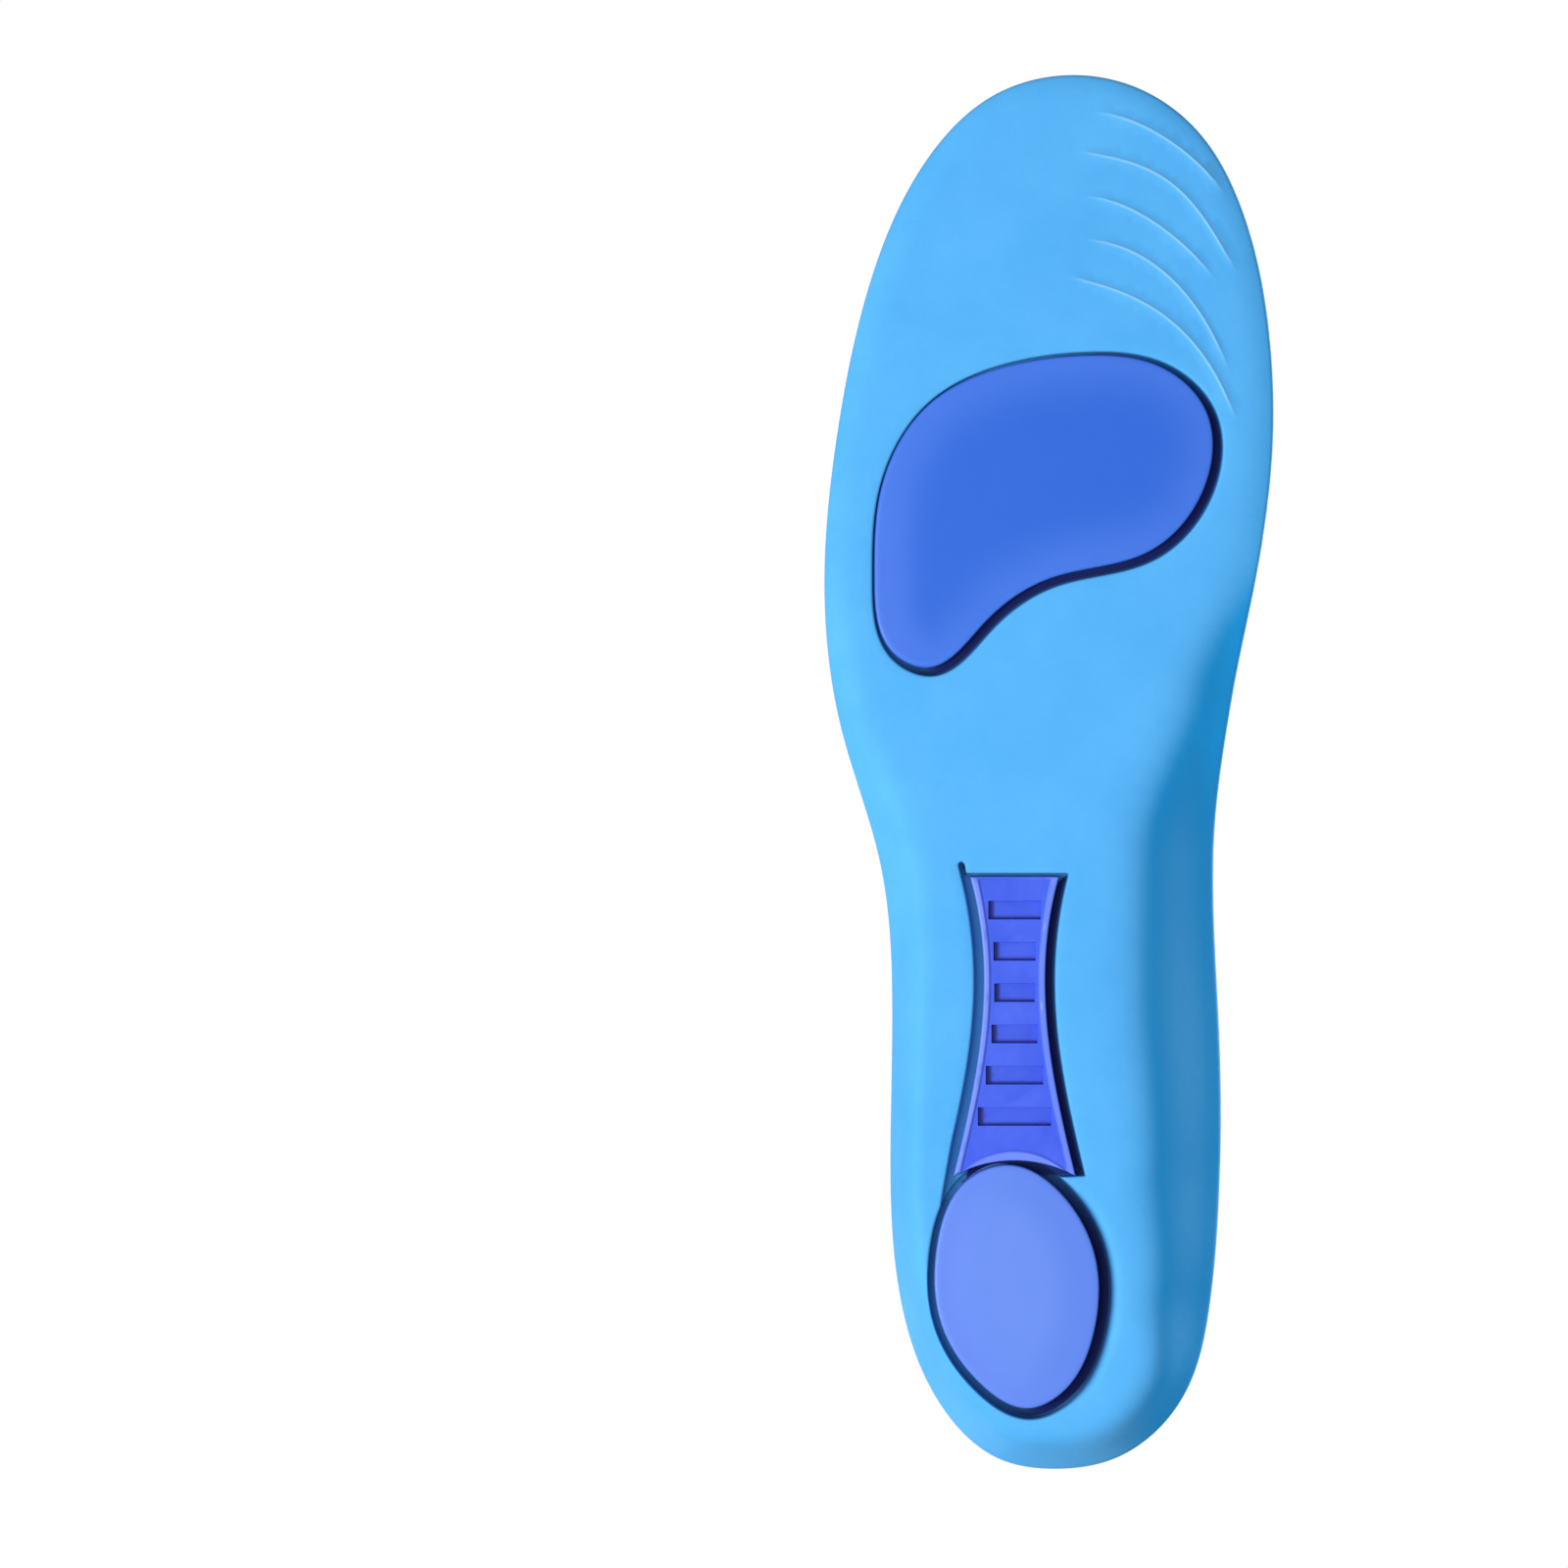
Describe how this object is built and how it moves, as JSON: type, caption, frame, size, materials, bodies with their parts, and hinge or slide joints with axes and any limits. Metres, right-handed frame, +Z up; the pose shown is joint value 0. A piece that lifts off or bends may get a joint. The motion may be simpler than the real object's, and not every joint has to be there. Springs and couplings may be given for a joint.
{
  "type": "cushioned insole",
  "caption": "Full-length cushioned shoe insole for a right foot: looped knit cover on a foam footbed with heel cup and raised arch, gel pads and a slotted arch shank let into the underside.",
  "frame": {"origin": "on the ground plane, under the middle of the insole's length and width", "axes": "+Y from heel to toe, +Z up towards the foot, -X the inner (arch) side of a right foot"},
  "size_m": [0.0866, 0.2696, 0.0237],
  "materials": {
    "knit": "looped knit, dark blue ground with pale blue loops",
    "film": "translucent hot-melt film",
    "foam": "matt moulded polyurethane foam, light blue",
    "forefoot_gel": "satin gel, royal blue",
    "heel_gel": "satin gel, periwinkle blue",
    "shank": "satin moulded thermoplastic polyurethane, violet blue",
    "adhesive": "clear bonding layer"
  },
  "bodies": {
    "root": {"top_cover": "knit", "cover_adhesive_film": "film", "foam_footbed": "foam", "forefoot_gel_pad": "forefoot_gel", "forefoot_pad_adhesive": "adhesive", "arch_shank": "shank", "shank_adhesive": "adhesive", "heel_gel_pad": "heel_gel", "heel_pad_adhesive": "adhesive"}
  },
  "joints": []
}
